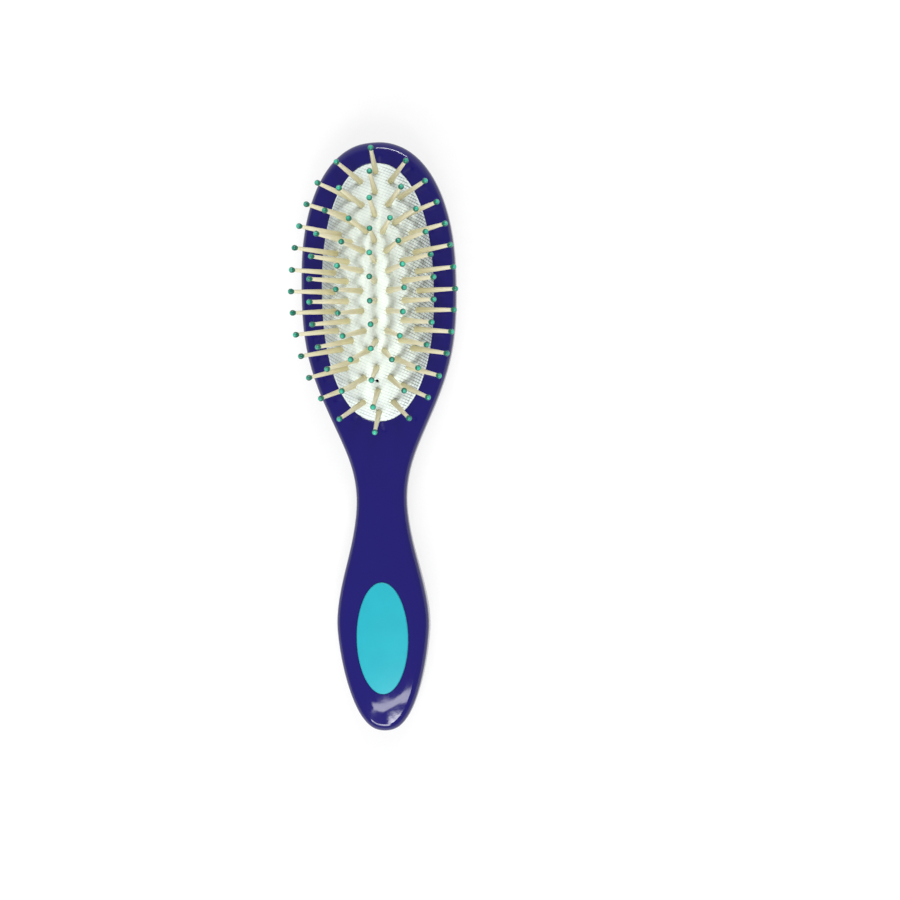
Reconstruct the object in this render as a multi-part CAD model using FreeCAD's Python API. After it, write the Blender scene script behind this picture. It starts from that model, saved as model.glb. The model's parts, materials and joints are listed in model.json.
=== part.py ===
"""Detangling hair brush: an oval cushion brush with ball-tipped pins and a thumb inlay on its handle.

Millimetres. X runs across the brush, +Y runs from the handle to the head and +Z from the back to the pins.
The brush lies on its back on Z = 0, with the origin under the middle of its length.
"""
import FreeCAD
import Part
import math
import os
from FreeCAD import Placement, Rotation, Vector

# Body outline, seen from above
LENGTH = 178.0            # nose to tail
HEAD_WIDTH = 47.0         # across the widest line of the head
HEAD_FORWARD = 2.9        # widest line of the head, ahead of the pad's middle
NECK_WIDTH = 15.3         # across the narrowest line of the neck
SHOULDER = 22.6           # pad's handle end to the narrowest line of the neck
GRIP_WIDTH = 27.9         # across the widest line of the grip
GRIP_TAIL = 32.0          # widest line of the grip to the tail
NOSE_FULLNESS = 2.23      # superellipse exponent of the nose, where 2 is an ellipse
TAIL_FULLNESS = 2.4       # over 2 makes the tail's end blunt
TAIL_TAPER = 1.45         # under 2 draws the sides in sooner behind the grip
SHOULDER_BIAS = 1.42      # over 1 keeps the head wide for longer before the shoulder falls in
GRIP_BIAS = 1.05          # over 1 keeps the neck narrow for longer before the grip swells

# Body thickness, as heights above the table
RIM_TOP = 12.5            # the head's rim, on the centre line
NECK_TOP = 11.6
GRIP_TOP = 13.2
TAIL_DROP = 3.6           # fall of the top from the grip to the tail
TAIL_ROLL = 3             # exponent of that fall, which steepens towards the tail
NOSE_BACK = 1.2
NECK_BACK = 2.0
TAIL_BACK = 1.2
LAND_DEPTH = 0.4          # how much of the rounded back is taken off to make the flat lands it lies on
HEAD_CROWN = 1.2          # fall of the head's top at the side of a strip CROWN_SPAN wide each way
GRIP_CROWN = 5.0          # the same fall at the grip, which is rounder
TAIL_CROWN = 13.0
BACK_CROWN = 3.0          # rise of the back over the same span
CROWN_SPAN = 26.0
TOP_ROUND = 2.8           # edge rounding
BACK_ROUND = 5.0

# Cushion seat in the head
RIM_WIDTH = 6.5           # head's outer edge to the opening
PAD_LENGTH = 78.0         # length of the opening
PAD_FULLNESS = 2.2
LIP = 2.2                 # rim top down to the underside of the lip that holds the flange
GROOVE_REACH = 2.2        # how far the groove runs out under the lip
RECESS_FLOOR = 4.0        # height of the recess floor
RIM_EDGE_ROUND = 0.3

# Cushion
DOME_RISE = 9.5           # crown of the dome above the rim top
SKIN = 1.6                # rubber thickness
FLANGE = 1.5              # flange thickness
PAD_GAP = 0.3             # clearance between the cushion and the body
VENT_BORE = 1.1
VENT_FROM_MIDDLE = 26.8   # vent hole, from the pad's middle towards the handle

# Pins and ball tips
CORE_PINS = 6             # pins on the centre line
CORE_REACH = 0.39         # half length of the centre row, as a share of the pad's half length
RINGS = {                 # pins, and the ring's half width and half length as shares of the pad's
    "inner": (16, 0.26, 0.595),
    "middle": (22, 0.53, 0.772),
    "outer": (28, 0.765, 0.935),
}
RING_FULLNESS = 1.85
SIDE_LEAN = 51.0          # lean of the outer ring's pins at the sides, in degrees
END_LEAN = 23.0           # lean of the outer ring's pins at the ends, in degrees
PIN_LENGTH = 14.2         # dome surface to the ball's seat
PIN_ROOT = 0.97           # pin radius at the dome's surface
PIN_TIP = 0.56            # pin radius at the ball's seat
PIN_HEAD = 1.3            # radius of the head under the rubber
PIN_HEAD_THICK = 0.7
PIN_GAP = 0.1             # clearance between a pin and its hole
HEAD_GAP = 0.5            # clearance between a pin's head and the rubber
BALL = 0.95               # ball radius

# Thumb inlay
INLAY_WIDTH = 15.8
INLAY_LENGTH = 33.9
INLAY_FROM_TAIL = 28.1    # tail to the inlay's middle
INLAY_DEPTH = 0.85        # pocket depth at its shallow end
INLAY_PROUD = 0.3
INLAY_GAP = 0.1
INLAY_ROUND = 0.4

# Places that follow from the sizes above
NOSE = LENGTH / 2
TAIL = -LENGTH / 2
PAD_HALF_WIDTH = HEAD_WIDTH / 2 - RIM_WIDTH
PAD_HALF_LENGTH = PAD_LENGTH / 2
PAD_Y = NOSE - RIM_WIDTH - PAD_HALF_LENGTH
HEAD_Y = PAD_Y + HEAD_FORWARD
NECK_Y = PAD_Y - PAD_HALF_LENGTH - SHOULDER
GRIP_Y = TAIL + GRIP_TAIL
LIP_UNDERSIDE = RIM_TOP - LIP
LEDGE = LIP_UNDERSIDE - FLANGE - 2 * PAD_GAP
FLANGE_BOTTOM = LEDGE + PAD_GAP
INLAY_Y = TAIL + INLAY_FROM_TAIL
UP = Vector(0, 0, 1)
BEYOND = 5.0              # how far a cutting shape runs past what it cuts
SHEET_STEPS = 24          # steps along a crowned sheet

# Profiles of the top and the back along the centre line, and of the top's crown: (y, height) stations
TOP_PROFILE = [(GRIP_Y, GRIP_TOP), (NECK_Y, NECK_TOP),
               (PAD_Y - PAD_HALF_LENGTH, RIM_TOP), (NOSE + BEYOND, RIM_TOP)]
BACK_PROFILE = [(TAIL - BEYOND, TAIL_BACK), (GRIP_Y, -LAND_DEPTH), (NECK_Y, NECK_BACK),
                (HEAD_Y, -LAND_DEPTH), (NOSE + BEYOND, NOSE_BACK)]
TOP_CROWNS = [(TAIL - BEYOND, TAIL_CROWN), (GRIP_Y, GRIP_CROWN),
              (PAD_Y - PAD_HALF_LENGTH, HEAD_CROWN), (NOSE + BEYOND, HEAD_CROWN)]


def quarter(half_width, half_length, fullness, taper, steps=8):
    """Points of a superellipse's first quarter, from its end on Y to its side on X.

    Its exponents are fullness across and taper along, and are alike on a plain superellipse.
    """
    turns = [math.pi / 2 * k / steps for k in range(steps + 1)]
    return [(half_width * math.sin(t) ** (2 / fullness), half_length * math.cos(t) ** (2 / taper))
            for t in turns]


def ease(start, end, bias, steps):
    """Points strictly between two (half width, y) stations, on a smooth S that bias shifts along Y."""
    shares = [k / steps for k in range(1, steps)]
    return [(start[0] + (end[0] - start[0]) * math.sin(math.pi / 2 * s ** bias) ** 2,
             start[1] + (end[1] - start[1]) * s) for s in shares]


def closed_curve(right_side):
    """Closed smooth edge through points of the right side, first and last on the centre line, mirrored."""
    left_side = [(-x, y) for x, y in reversed(right_side[1:-1])]
    curve = Part.BSplineCurve()
    curve.interpolate([Vector(x, y, 0) for x, y in right_side + left_side], PeriodicFlag=True)
    return curve.toShape()


def oval(half_width, half_length, fullness=PAD_FULLNESS, middle=None):
    """Closed oval edge centred on the pad, or on another place along Y."""
    top = quarter(half_width, half_length, fullness, fullness)
    bottom = [(x, -y) for x, y in reversed(top[:-1])]
    edge = closed_curve(top + bottom)
    edge.translate(Vector(0, PAD_Y if middle is None else middle, 0))
    return edge


def prism(edge, bottom, top):
    """Solid of a closed flat edge, between two heights."""
    solid = Part.Face(Part.Wire([edge])).extrude(UP * (top - bottom))
    solid.translate(UP * bottom)
    return solid


def outline():
    """The body's outline: round nose, falling shoulders, narrow neck, swelling grip and round tail."""
    head = (HEAD_WIDTH / 2, HEAD_Y)
    neck = (NECK_WIDTH / 2, NECK_Y)
    grip = (GRIP_WIDTH / 2, GRIP_Y)
    nose = quarter(head[0], NOSE - HEAD_Y, NOSE_FULLNESS, NOSE_FULLNESS)
    points = [(x, HEAD_Y + y) for x, y in nose]
    points += ease(head, neck, SHOULDER_BIAS, 7) + [neck] + ease(neck, grip, GRIP_BIAS, 5)
    tail = quarter(grip[0], GRIP_TAIL, TAIL_FULLNESS, TAIL_TAPER)
    points += [(x, GRIP_Y - y) for x, y in reversed(tail)]
    return closed_curve(points)


def eased_height(stations, y):
    """Height at y of a profile that is level at each (y, height) station and eases from one to the next."""
    for (y0, z0), (y1, z1) in zip(stations, stations[1:]):
        if y <= y1:
            return z0 + (z1 - z0) * math.sin(math.pi / 2 * (y - y0) / (y1 - y0)) ** 2
    return stations[-1][1]


def top_height(y):
    """Height of the top along the centre line, where the tail rolls down from the grip."""
    if y < GRIP_Y:
        return GRIP_TOP - TAIL_DROP * ((GRIP_Y - y) / GRIP_TAIL) ** TAIL_ROLL
    return eased_height(TOP_PROFILE, y)


def back_height(y):
    """Height of the back along the centre line."""
    return eased_height(BACK_PROFILE, y)


def top_crown(y):
    """Bend of the top down towards its sides."""
    return -eased_height(TOP_CROWNS, y)


def back_crown(y):
    """Bend of the back up towards its sides, which is the same all along."""
    return BACK_CROWN


def crowned_sheet(height, crown):
    """Smooth sheet over a height along the centre line, which bends by crown towards the sides."""
    step = (LENGTH + 2 * BEYOND) / SHEET_STEPS
    places = [TAIL - BEYOND + k * step for k in range(SHEET_STEPS + 1)]
    rows = [[Vector(CROWN_SPAN * s, y, height(y) + crown(y) * s * s) for y in places]
            for s in (-1, -0.5, 0, 0.5, 1)]
    surface = Part.BSplineSurface()
    surface.interpolate(rows)
    return surface.toShape()


def body_blank():
    """The body before its seats are cut: the outline between a crowned top and back, with round edges."""
    tallest = max(z for _, z in TOP_PROFILE) + BEYOND
    under_top = crowned_sheet(top_height, top_crown).extrude(UP * -(tallest + BEYOND))
    over_back = crowned_sheet(back_height, back_crown).extrude(UP * (tallest + BEYOND))
    solid = prism(outline(), -BEYOND, tallest).common(under_top).common(over_back)
    middle = RIM_TOP / 2
    solid = solid.makeFillet(TOP_ROUND, [e for e in solid.Edges if e.BoundBox.ZMin > middle])
    solid = solid.makeFillet(BACK_ROUND, [e for e in solid.Edges if e.BoundBox.ZMax < middle])
    below = Part.makeBox(2 * CROWN_SPAN, LENGTH, BEYOND, Vector(-CROWN_SPAN, TAIL, -BEYOND))
    return solid.cut(below).Solids[0]


def inlay_prism(gap):
    """The thumb inlay's oval, inset by a gap, from the pocket floor up past the grip's top."""
    shallow = min(top_height(INLAY_Y + end * INLAY_LENGTH / 2) for end in (-1, 1))
    edge = oval(INLAY_WIDTH / 2 - gap, INLAY_LENGTH / 2 - gap, 2, INLAY_Y)
    return prism(edge, shallow - INLAY_DEPTH, GRIP_TOP + BEYOND)


def body(blank):
    """The moulded body: a recess for the cushion, a groove under its lip and a pocket for the thumb inlay."""
    opening = prism(oval(PAD_HALF_WIDTH, PAD_HALF_LENGTH), RECESS_FLOOR, RIM_TOP + BEYOND)
    groove_edge = oval(PAD_HALF_WIDTH + GROOVE_REACH, PAD_HALF_LENGTH + GROOVE_REACH)
    groove = prism(groove_edge, LEDGE, LIP_UNDERSIDE)
    solid = blank.cut(opening)
    edges = [e for e in solid.Edges if abs(e.BoundBox.XLength - 2 * PAD_HALF_WIDTH) < RIM_EDGE_ROUND]
    solid = solid.makeFillet(RIM_EDGE_ROUND, [e for e in edges if e.BoundBox.ZMin > LIP_UNDERSIDE])
    return solid.cut(groove).cut(inlay_prism(0)).Solids[0]


def thumb_inlay(blank):
    """The soft thumb inlay: fills its pocket and stands a little proud of the grip, with a round edge."""
    cover = blank.copy()
    cover.translate(UP * INLAY_PROUD)
    solid = inlay_prism(INLAY_GAP).common(cover).Solids[0]
    floor = solid.BoundBox.ZMin
    top_edges = [e for e in solid.Edges if e.BoundBox.ZMin > floor + INLAY_PROUD]
    return solid.makeFillet(INLAY_ROUND, top_edges).Solids[0]


# The dome is part of a barrel: an arc across the pad, carried along a longer arc down its length
CROWN = RIM_TOP + DOME_RISE
ACROSS = (PAD_HALF_WIDTH ** 2 + DOME_RISE ** 2) / (2 * DOME_RISE)
ALONG = (PAD_HALF_LENGTH ** 2 + DOME_RISE ** 2) / (2 * DOME_RISE)


def barrel(inset):
    """The barrel under the dome's surface, or under a surface inset from it."""
    return Part.makeTorus(ALONG - ACROSS, ACROSS - inset, Vector(0, PAD_Y, CROWN - ALONG), Vector(1, 0, 0))


def dome_height(x, y):
    """Height of the dome's surface at a place measured from the pad's middle."""
    reach = ALONG - ACROSS + math.sqrt(ACROSS ** 2 - x ** 2)
    return CROWN - ALONG + math.sqrt(reach ** 2 - y ** 2)


def pin_place(x, y):
    """Placement of a pin: its root on the dome, leaning further out the further it stands from the middle."""
    _, outer_width, outer_length = RINGS["outer"]
    side = math.tan(math.radians(SIDE_LEAN)) * x / (outer_width * PAD_HALF_WIDTH)
    end = math.tan(math.radians(END_LEAN)) * y / (outer_length * PAD_HALF_LENGTH)
    return Placement(Vector(x, PAD_Y + y, dome_height(x, y)), Rotation(UP, Vector(side, end, 1)))


def pin_groups():
    """Placements of all the pins, in the groups that they are named by."""
    step = 2 * CORE_REACH * PAD_HALF_LENGTH / (CORE_PINS - 1)
    first = -CORE_REACH * PAD_HALF_LENGTH
    groups = {"core": [pin_place(0, first + k * step) for k in range(CORE_PINS)]}
    for ring, (count, width, length) in RINGS.items():
        edge = oval(width * PAD_HALF_WIDTH, length * PAD_HALF_LENGTH, RING_FULLNESS)
        for point in edge.discretize(Number=count + 1)[:-1]:
            x = point.x if abs(point.x) > PIN_ROOT else 0
            side = "right" if x > 0 else "left" if x < 0 else "centre"
            groups.setdefault(ring + "_" + side, []).append(pin_place(x, point.y - PAD_Y))
    return groups


def pin_radius(along):
    """Radius of a pin's taper at a distance along it from the dome's surface."""
    return PIN_ROOT + (PIN_TIP - PIN_ROOT) * along / PIN_LENGTH


def spun(profile):
    """Solid of a (radius, height) profile turned about Z."""
    wire = Part.makePolygon([Vector(r, 0, z) for r, z in profile + profile[:1]])
    return Part.Face(wire).revolve(Vector(0, 0, 0), UP, 360)


def pin():
    """One nylon pin: a flat head that bears on the inside of the rubber and a tapered shaft through it."""
    top = -SKIN - HEAD_GAP
    bottom = top - PIN_HEAD_THICK
    return spun([(0, bottom), (PIN_HEAD, bottom), (PIN_HEAD, top), (pin_radius(top), top),
                 (PIN_TIP, PIN_LENGTH), (0, PIN_LENGTH)])


def pin_hole():
    """The hole that a pin needs through the rubber."""
    reach = 2 * SKIN
    return Part.makeCone(pin_radius(-reach) + PIN_GAP, pin_radius(reach) + PIN_GAP, 2 * reach, UP * -reach)


def ball_tip():
    """One ball tip: a ball with a flat seat on the end of its pin."""
    middle = PIN_LENGTH + math.sqrt(BALL ** 2 - PIN_TIP ** 2)
    seat = Part.makeBox(2 * BALL, 2 * BALL, 2 * BALL, Vector(-BALL, -BALL, PIN_LENGTH))
    return Part.makeSphere(BALL, UP * middle).common(seat).Solids[0]


def placed(shape, place):
    """A copy of a shape at a placement."""
    copy = shape.copy()
    copy.Placement = place
    return copy


def cushion(places):
    """The rubber cushion: a thin dome with a flange in the body's groove, a vent and a hole for each pin."""
    half_width = PAD_HALF_WIDTH - PAD_GAP
    half_length = PAD_HALF_LENGTH - PAD_GAP
    above = CROWN + BEYOND
    dome = prism(oval(half_width, half_length), FLANGE_BOTTOM, above).common(barrel(0))
    flange_edge = oval(half_width + GROOVE_REACH, half_length + GROOVE_REACH)
    flange = prism(flange_edge, FLANGE_BOTTOM, FLANGE_BOTTOM + FLANGE)
    inside_edge = oval(half_width - SKIN, half_length - SKIN)
    inside = prism(inside_edge, FLANGE_BOTTOM - BEYOND, above).common(barrel(SKIN))
    vent = Part.makeCylinder(VENT_BORE / 2, above, Vector(0, PAD_Y - VENT_FROM_MIDDLE, 0))
    holes = [placed(pin_hole(), place) for place in places]
    return dome.fuse(flange).cut(inside).cut([vent] + holes).Solids[0]


def save(name, shapes):
    """Writes one solid, or a group of like solids, as a named sub-part."""
    shape = shapes[0] if len(shapes) == 1 else Part.makeCompound(shapes)
    shape.exportStep("parts/" + name + ".step")


def main():
    os.makedirs("parts", exist_ok=True)
    blank = body_blank()
    groups = pin_groups()
    save("body", [body(blank)])
    save("thumb_inlay", [thumb_inlay(blank)])
    save("cushion", [cushion([place for group in groups.values() for place in group])])
    for name, places in groups.items():
        save(name + "_pins", [placed(pin(), place) for place in places])
        save(name + "_tips", [placed(ball_tip(), place) for place in places])


main()
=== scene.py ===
"""Looks of an oval cushion hair brush, built round its packed frame.

Metres, in the frame's own axes: X runs across the brush, +Y from the handle to the head, and +Z up through
the pins. The body and the thumb inlay are the frame's own meshes with new finishes. The cushion, the pins and
the ball tips are modelled here and stand for the frame's solids.
"""

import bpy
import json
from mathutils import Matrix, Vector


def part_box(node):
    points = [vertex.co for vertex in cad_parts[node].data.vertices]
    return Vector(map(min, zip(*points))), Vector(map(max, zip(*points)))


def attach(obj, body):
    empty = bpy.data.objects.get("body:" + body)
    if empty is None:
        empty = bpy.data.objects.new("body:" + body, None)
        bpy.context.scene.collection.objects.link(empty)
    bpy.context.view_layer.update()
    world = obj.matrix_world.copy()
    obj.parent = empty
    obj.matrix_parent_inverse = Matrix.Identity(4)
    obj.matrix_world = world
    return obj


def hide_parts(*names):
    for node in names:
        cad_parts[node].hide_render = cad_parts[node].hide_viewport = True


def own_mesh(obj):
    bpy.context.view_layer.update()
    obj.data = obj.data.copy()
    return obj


bl_info = {
    "name": "Cushion Hair Brush",
    "version": (1, 0, 0),
    "blender": (4, 5, 0),
    "location": "View3D > Sidebar > Hair Brush",
    "description": "Finishes, cushion, pins and studio for an oval cushion hair brush",
    "category": "Object",
}

import json
import math

import bmesh
import bpy
import numpy as np
from bpy.props import FloatProperty, FloatVectorProperty, IntProperty, PointerProperty
from mathutils import Euler, Matrix, Vector

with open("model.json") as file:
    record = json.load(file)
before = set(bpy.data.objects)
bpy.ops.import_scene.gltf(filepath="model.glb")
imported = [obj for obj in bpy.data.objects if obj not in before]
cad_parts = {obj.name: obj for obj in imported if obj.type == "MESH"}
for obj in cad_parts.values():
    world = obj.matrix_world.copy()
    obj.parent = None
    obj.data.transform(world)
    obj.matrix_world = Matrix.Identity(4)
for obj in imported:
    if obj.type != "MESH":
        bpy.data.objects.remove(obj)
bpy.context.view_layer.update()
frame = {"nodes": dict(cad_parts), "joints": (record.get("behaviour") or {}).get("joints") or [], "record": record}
MM = 0.001

# The cushion's place, read from the frame
PAD_LOW, PAD_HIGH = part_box("cushion")
PAD_Y = (PAD_LOW.y + PAD_HIGH.y) / 2
CROWN = PAD_HIGH.z
PRESS = frame["joints"][0]
RIM_TOP = PRESS["deforming_nodes"][0]["fixed_end_z_m"]
BODIES = frame["record"]["behaviour"]["bodies"]
FLANGE_REACH = 2.2 * MM      # how far the flange runs out under the body's lip
FLANGE_THICK = 1.5 * MM
PAD_GAP = 0.3 * MM           # clearance between the cushion's solid and the opening in the body
CLOTH_GAP = 0.05 * MM        # clearance that the cloth leaves at the opening
PAD_FULLNESS = 2.2           # superellipse exponent of the pad's outline
OPENING_WIDTH = PAD_HIGH.x - FLANGE_REACH + PAD_GAP
OPENING_LENGTH = (PAD_HIGH.y - PAD_LOW.y) / 2 - FLANGE_REACH + PAD_GAP
PAD_HALF_WIDTH = OPENING_WIDTH - CLOTH_GAP
PAD_HALF_LENGTH = OPENING_LENGTH - CLOTH_GAP
FLANGE_TOP = PAD_LOW.z + FLANGE_THICK
RIM_FALL = 1.2 * MM          # fall of the body's crowned top, RIM_SPAN out from the centre line
RIM_SPAN = 26 * MM

# The dome is part of a barrel: an arc across the pad, carried along a longer arc down its length
RISE = CROWN - RIM_TOP
ACROSS = (OPENING_WIDTH ** 2 + RISE ** 2) / (2 * RISE)
ALONG = (OPENING_LENGTH ** 2 + RISE ** 2) / (2 * RISE)

# Sizes and depths of the patterns in the finishes
FLOW_SIZE = 28 * MM          # tones that the flow of the melt leaves in the body
RUB_SIZE = (2 * MM, 14 * MM, 2 * MM)   # rubbed marks, longer along the brush
RUB_DULL = 0.05              # roughness that the rubbing adds at most
PEEL_SIZE = 1.6 * MM         # orange peel of the gloss
PEEL_DEPTH = 0.05 * MM
SEAM_CREST = 0.02 * MM       # half width of the parting line's crest
SEAM_FOOT = 0.12 * MM        # half width of the parting line at its foot
SEAM_DEPTH = 0.06 * MM
MOTTLE_SIZE = 6 * MM         # tones in the inlay's rubber
GRAIN_DEPTH = 0.04 * MM
THREAD_DEPTH = 0.18 * MM
CLOTH_LEVEL = 0.98           # upward part of the normal on cloth whose gaps take the least painted shade
CLOTH_STEEP = 0.72           # and on cloth whose gaps take the most
HAZE_SIZE = 1.5 * MM         # cloudiness of the nylon
SWIRL_SIZE = 0.9 * MM        # streaks in the resin

# Fineness of the meshes, and how the cloth is simulated
MERGE = 0.001 * MM           # vertices of a CAD solid that are nearer than this are one
SHAFT_POINTS = 7             # points along a pin's shaft
BALL_RINGS = 10
NECK_START = -0.4            # height on a ball, as a share of its radius, below which resin runs down the pin
TRIAL_SCALE = 10             # how many times larger than it is the cloth is simulated
TRIAL_STEPS = 20
STILL = 1e-9                 # a shift shorter than this counts as none

# The studio
FLOOR_HALF = 3.0             # half the length of the floor's side
FLOOR_DROP = 0.05 * MM       # how far the floor lies under the brush
FLOOR_NEAR = 0.2             # distance at which the floor starts to lose its shadow
FLOOR_FAR = 0.8              # distance from which the floor is plain white
HORIZON = 0.05               # upward part of a direction, under which the world shows white
SWEEP_LIGHT = 0.34           # brightness of the pale sweep at the horizon
CEILING_LIGHT = 0.28
CEILING_FROM = 0.7           # upward part of a direction from which the world is ceiling
WALL_LIGHT = 0.5             # brightness that the wall beyond the head adds
WALL_EDGE = 0.3              # part of a direction towards +Y at which the wall starts
WALL_FULL = 0.7              # and at which it is at its brightest
SENSOR = 36                  # camera frame, in millimetres
VIEW_REACH = 10              # farthest that the camera sees


def linear(code):
    """Linear RGBA of an sRGB hex colour."""
    parts = [int(code[k:k + 2], 16) / 255 for k in (1, 3, 5)]
    return (*[c / 12.92 if c <= 0.04045 else ((c + 0.055) / 1.055) ** 2.4 for c in parts], 1.0)


def colour(name, description, code):
    """A colour property with a default given as a hex code."""
    return FloatVectorProperty(name=name, description=description, subtype="COLOR", size=4,
                               min=0, max=1, default=linear(code))


def length(name, description, millimetres):
    """A length property with a default given in millimetres."""
    return FloatProperty(name=name, description=description, subtype="DISTANCE", unit="LENGTH",
                         precision=5, min=0, default=millimetres * MM)


class BodyFinish(bpy.types.PropertyGroup):
    """Finishes of the moulded body and the thumb inlay."""
    plastic: colour("Body colour", "Deep indigo of the moulded body", "#1B156E")
    plastic_shade: colour("Body shade", "Darker tone of the moulding's flow marks", "#181265")
    gloss: FloatProperty(name="Body roughness", description="Roughness of the moulded gloss",
                         subtype="FACTOR", min=0, max=1, default=0.06)
    rubber: colour("Inlay colour", "Turquoise of the soft thumb inlay", "#10B0C0")
    rubber_shade: colour("Inlay shade", "Deeper tone in the inlay's mottling", "#0CA6B7")
    # Drawn coarser than a real eroded grain, and still too faint to show at the picture's distance
    grain: length("Inlay grain", "Size of the spark-eroded grain on the inlay", 0.6)
    parting_height: length("Parting line height", "Height of the mould's parting line on the body", 7.0)


class CushionSizes(bpy.types.PropertyGroup):
    """Sizes and colours of the cloth-faced rubber cushion."""
    skin: length("Skin", "Thickness of the cloth and rubber", 1.6)
    cell: length("Cell", "Size of the sheet's cells before smoothing", 0.8)
    dimple: length("Dimple", "How far each pin draws the cloth down", 0.6)
    swell: length("Swell", "Most that the cloth stands up between the pins", 0.95)
    hem: length("Hem", "Width of the level hem where the cloth meets the rim", 0.6)
    hem_turn: length("Hem turn", "Distance from the rim at which the cloth turns down to its hem", 3.5)
    hem_drop: length("Hem drop", "Depth of the hem below the rim's top", 0.15)
    pressure: FloatProperty(name="Pressure", description="Air pressure under the cloth in the simulation",
                            min=0, default=4.0)
    foot: length("Held foot", "Radius round each pin where the cloth is held", 1.25)
    vent_bore: length("Vent bore", "Diameter of the air vent before smoothing", 1.2)
    vent_place: length("Vent place", "Distance of the vent from the pad's middle, towards the handle", 26.8)
    # Spacing and turn are set so that the rows come out in the picture about as they do in the photograph
    thread: length("Thread spacing", "Spacing of the cloth's threads", 0.95)
    askew: FloatProperty(name="Askew", description="Turn of the threads from the brush's length",
                         subtype="ANGLE", default=math.radians(24))
    cloth: colour("Cloth", "White of the threads", "#F3FEFA")
    # The grey of the gaps is painted shade between the threads
    between: colour("Between threads", "Grey of the gaps between the threads", "#464940")


class PinSizes(bpy.types.PropertyGroup):
    """Sizes and colours of the pins and their ball tips."""
    root: length("Root radius", "Radius of a pin where it leaves the cloth", 0.97)
    tip: length("Tip radius", "Radius of a pin under its ball", 0.56)
    head: length("Head radius", "Radius of the head inside the cushion", 1.3)
    head_thick: length("Head thickness", "Thickness of the head inside the cushion", 0.7)
    ball: length("Ball radius", "Radius of a ball tip", 0.9)
    neck: length("Ball neck", "How far the dipped resin runs down the pin", 0.35)
    sides: IntProperty(name="Sides", description="Sides of a pin", min=6, default=14)
    tilt: FloatProperty(name="Tilt", description="Most that a pin turns about each axis",
                        subtype="ANGLE", min=0, default=math.radians(0.5))
    seed: IntProperty(name="Seed", description="Seed of the pins' small differences", default=7)
    nylon: colour("Pin colour", "Ivory of the pins near their tips", "#EDE7CA")
    nylon_root: colour("Pin root colour", "Deeper ivory at the pins' roots", "#CDC493")
    # Painted highlight and shade: the ball tips are lighter at the crown and deeper down the sides
    resin: colour("Ball colour", "Teal green at the crown of the ball tips", "#46D0AE")
    resin_painted_shade: colour("Ball shade", "Deeper green down the sides of the ball tips", "#0A6B56")


class StudioSizes(bpy.types.PropertyGroup):
    """Camera, lamps and floor."""
    aim: FloatVectorProperty(name="Aim", description="Place at the middle of the picture",
                             subtype="TRANSLATION", unit="LENGTH",
                             default=(20.65 * MM, -4.38 * MM, 5.3 * MM))
    turn: FloatVectorProperty(name="Turn", description="Turn of the camera about X, Y and Z",
                              subtype="EULER", unit="ROTATION",
                              default=[math.radians(a) for a in (0.45, 4.63, -0.82)])
    distance: length("Distance", "Camera to the aim", 1164)
    lens: FloatProperty(name="Lens", description="Focal length in millimetres on a 36 mm frame",
                        default=153.7)
    floor: colour("Floor", "Pale floor", "#FFFFFF")
    floor_glow: FloatProperty(name="Floor glow", subtype="FACTOR", min=0, max=1, default=0.75,
                              description="Share of the floor's white that takes no shadow")


def add(tree, kind, inputs=None, **settings):
    """A new node with its settings, whose inputs are set to values or joined to other nodes' sockets."""
    node = tree.nodes.new(kind)
    for name, value in settings.items():
        setattr(node, name, value)
    for key, value in (inputs or {}).items():
        if isinstance(value, bpy.types.NodeSocket):
            tree.links.new(value, node.inputs[key])
        else:
            node.inputs[key].default_value = value
    return node


def new_material(name):
    """An empty node material, its tree and its shader."""
    material = bpy.data.materials.new(name)
    material.use_nodes = True
    tree = material.node_tree
    return material, tree, tree.nodes["Principled BSDF"]


def plastic_material(finish):
    """Injection-moulded ABS: a deep even colour under a hard gloss, with faint orange peel, flow and rubs."""
    material, tree, shader = new_material("moulded_abs")
    place = add(tree, "ShaderNodeTexCoord").outputs["Object"]
    flow = add(tree, "ShaderNodeTexNoise", {"Vector": place, "Scale": 1 / FLOW_SIZE, "Detail": 2.0})
    tone = add(tree, "ShaderNodeMix", {"Factor": flow.outputs["Fac"], "A": finish.plastic,
                                       "B": finish.plastic_shade}, data_type="RGBA")
    tree.links.new(tone.outputs["Result"], shader.inputs["Base Color"])
    rubbed = add(tree, "ShaderNodeMapping", {"Vector": place, "Scale": [1 / size for size in RUB_SIZE]})
    rubs = add(tree, "ShaderNodeTexNoise", {"Vector": rubbed.outputs["Vector"], "Scale": 1.0,
                                            "Detail": 4.0})
    rough = add(tree, "ShaderNodeMapRange", {"Value": rubs.outputs["Fac"], "From Min": 0.35, "From Max": 0.75,
                                             "To Min": finish.gloss, "To Max": finish.gloss + RUB_DULL})
    tree.links.new(rough.outputs["Result"], shader.inputs["Roughness"])
    peel = add(tree, "ShaderNodeTexNoise", {"Vector": place, "Scale": 1 / PEEL_SIZE, "Detail": 1.0})
    # The mould's parting line is a low ridge at one height
    height = add(tree, "ShaderNodeSeparateXYZ", {"Vector": place})
    away = add(tree, "ShaderNodeMath", {0: height.outputs["Z"], 1: finish.parting_height},
               operation="SUBTRACT")
    near = add(tree, "ShaderNodeMath", {0: away.outputs[0]}, operation="ABSOLUTE")
    seam = add(tree, "ShaderNodeMapRange", {"Value": near.outputs[0], "From Min": SEAM_CREST,
                                            "From Max": SEAM_FOOT, "To Min": 1.0, "To Max": 0.0})
    peel_bump = add(tree, "ShaderNodeBump", {"Height": peel.outputs["Fac"], "Strength": 0.05,
                                             "Distance": PEEL_DEPTH})
    seam_bump = add(tree, "ShaderNodeBump", {"Height": seam.outputs["Result"], "Strength": 0.5,
                                             "Distance": SEAM_DEPTH, "Normal": peel_bump.outputs["Normal"]})
    tree.links.new(seam_bump.outputs["Normal"], shader.inputs["Normal"])
    shader.inputs["IOR"].default_value = 1.5
    return material


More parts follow.
